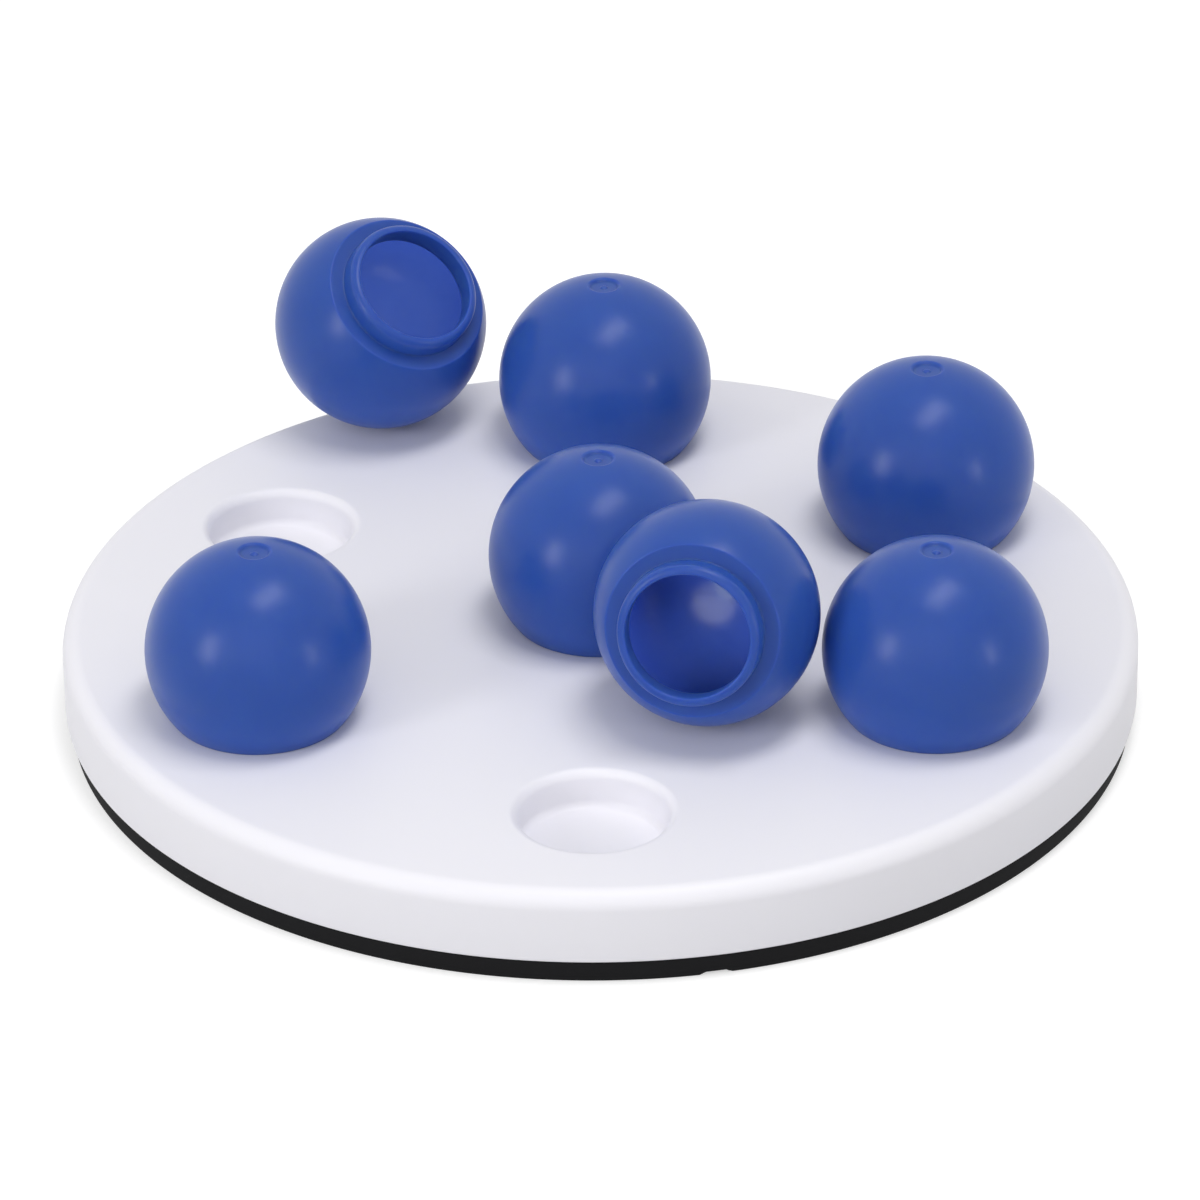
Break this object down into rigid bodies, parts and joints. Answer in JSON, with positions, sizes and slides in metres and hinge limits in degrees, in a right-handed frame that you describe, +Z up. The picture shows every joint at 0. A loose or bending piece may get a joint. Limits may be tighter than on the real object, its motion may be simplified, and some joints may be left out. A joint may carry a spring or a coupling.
{
  "type": "pet activity board",
  "caption": "Round pet activity board with treat cups and a rubber grip ring, with loose hollow ball lids that an animal lifts off the cups to reach the treats.",
  "frame": {"origin": "on the standing surface under the centre of the board", "axes": "+Z up; the picture looks along +Y from the front and above; +X to the right"},
  "size_m": [0.29, 0.29, 0.087],
  "materials": {
    "white_plastic": "satin moulded",
    "black_rubber": "matte moulded",
    "blue_plastic": "satin moulded, slightly translucent"
  },
  "bodies": {
    "base": {"board": "white_plastic", "grip_ring": "black_rubber"},
    "ball_centre": {"ball_centre": "blue_plastic"},
    "ball_back": {"ball_back": "blue_plastic"},
    "ball_right_back": {"ball_right_back": "blue_plastic"},
    "ball_right_front": {"ball_right_front": "blue_plastic"},
    "ball_left_front": {"ball_left_front": "blue_plastic"},
    "ball_lying_rear": {"ball_lying_rear": "blue_plastic"},
    "ball_lying_front": {"ball_lying_front": "blue_plastic"}
  },
  "joints": [
    {"name": "lift_centre", "type": "slide", "parent": "base", "child": "ball_centre", "axis": [0, 0, 1], "range_m": [0, 0.08]},
    {"name": "lift_back", "type": "slide", "parent": "base", "child": "ball_back", "axis": [0, 0, 1], "range_m": [0, 0.08]},
    {"name": "lift_right_back", "type": "slide", "parent": "base", "child": "ball_right_back", "axis": [0, 0, 1], "range_m": [0, 0.08]},
    {"name": "lift_right_front", "type": "slide", "parent": "base", "child": "ball_right_front", "axis": [0, 0, 1], "range_m": [0, 0.08]},
    {"name": "lift_left_front", "type": "slide", "parent": "base", "child": "ball_left_front", "axis": [0, 0, 1], "range_m": [0, 0.08]},
    {"name": "lift_lying_rear", "type": "slide", "parent": "base", "child": "ball_lying_rear", "axis": [0, 0, 1], "range_m": [0, 0.08]},
    {"name": "lift_lying_front", "type": "slide", "parent": "base", "child": "ball_lying_front", "axis": [0, 0, 1], "range_m": [0, 0.08]}
  ]
}
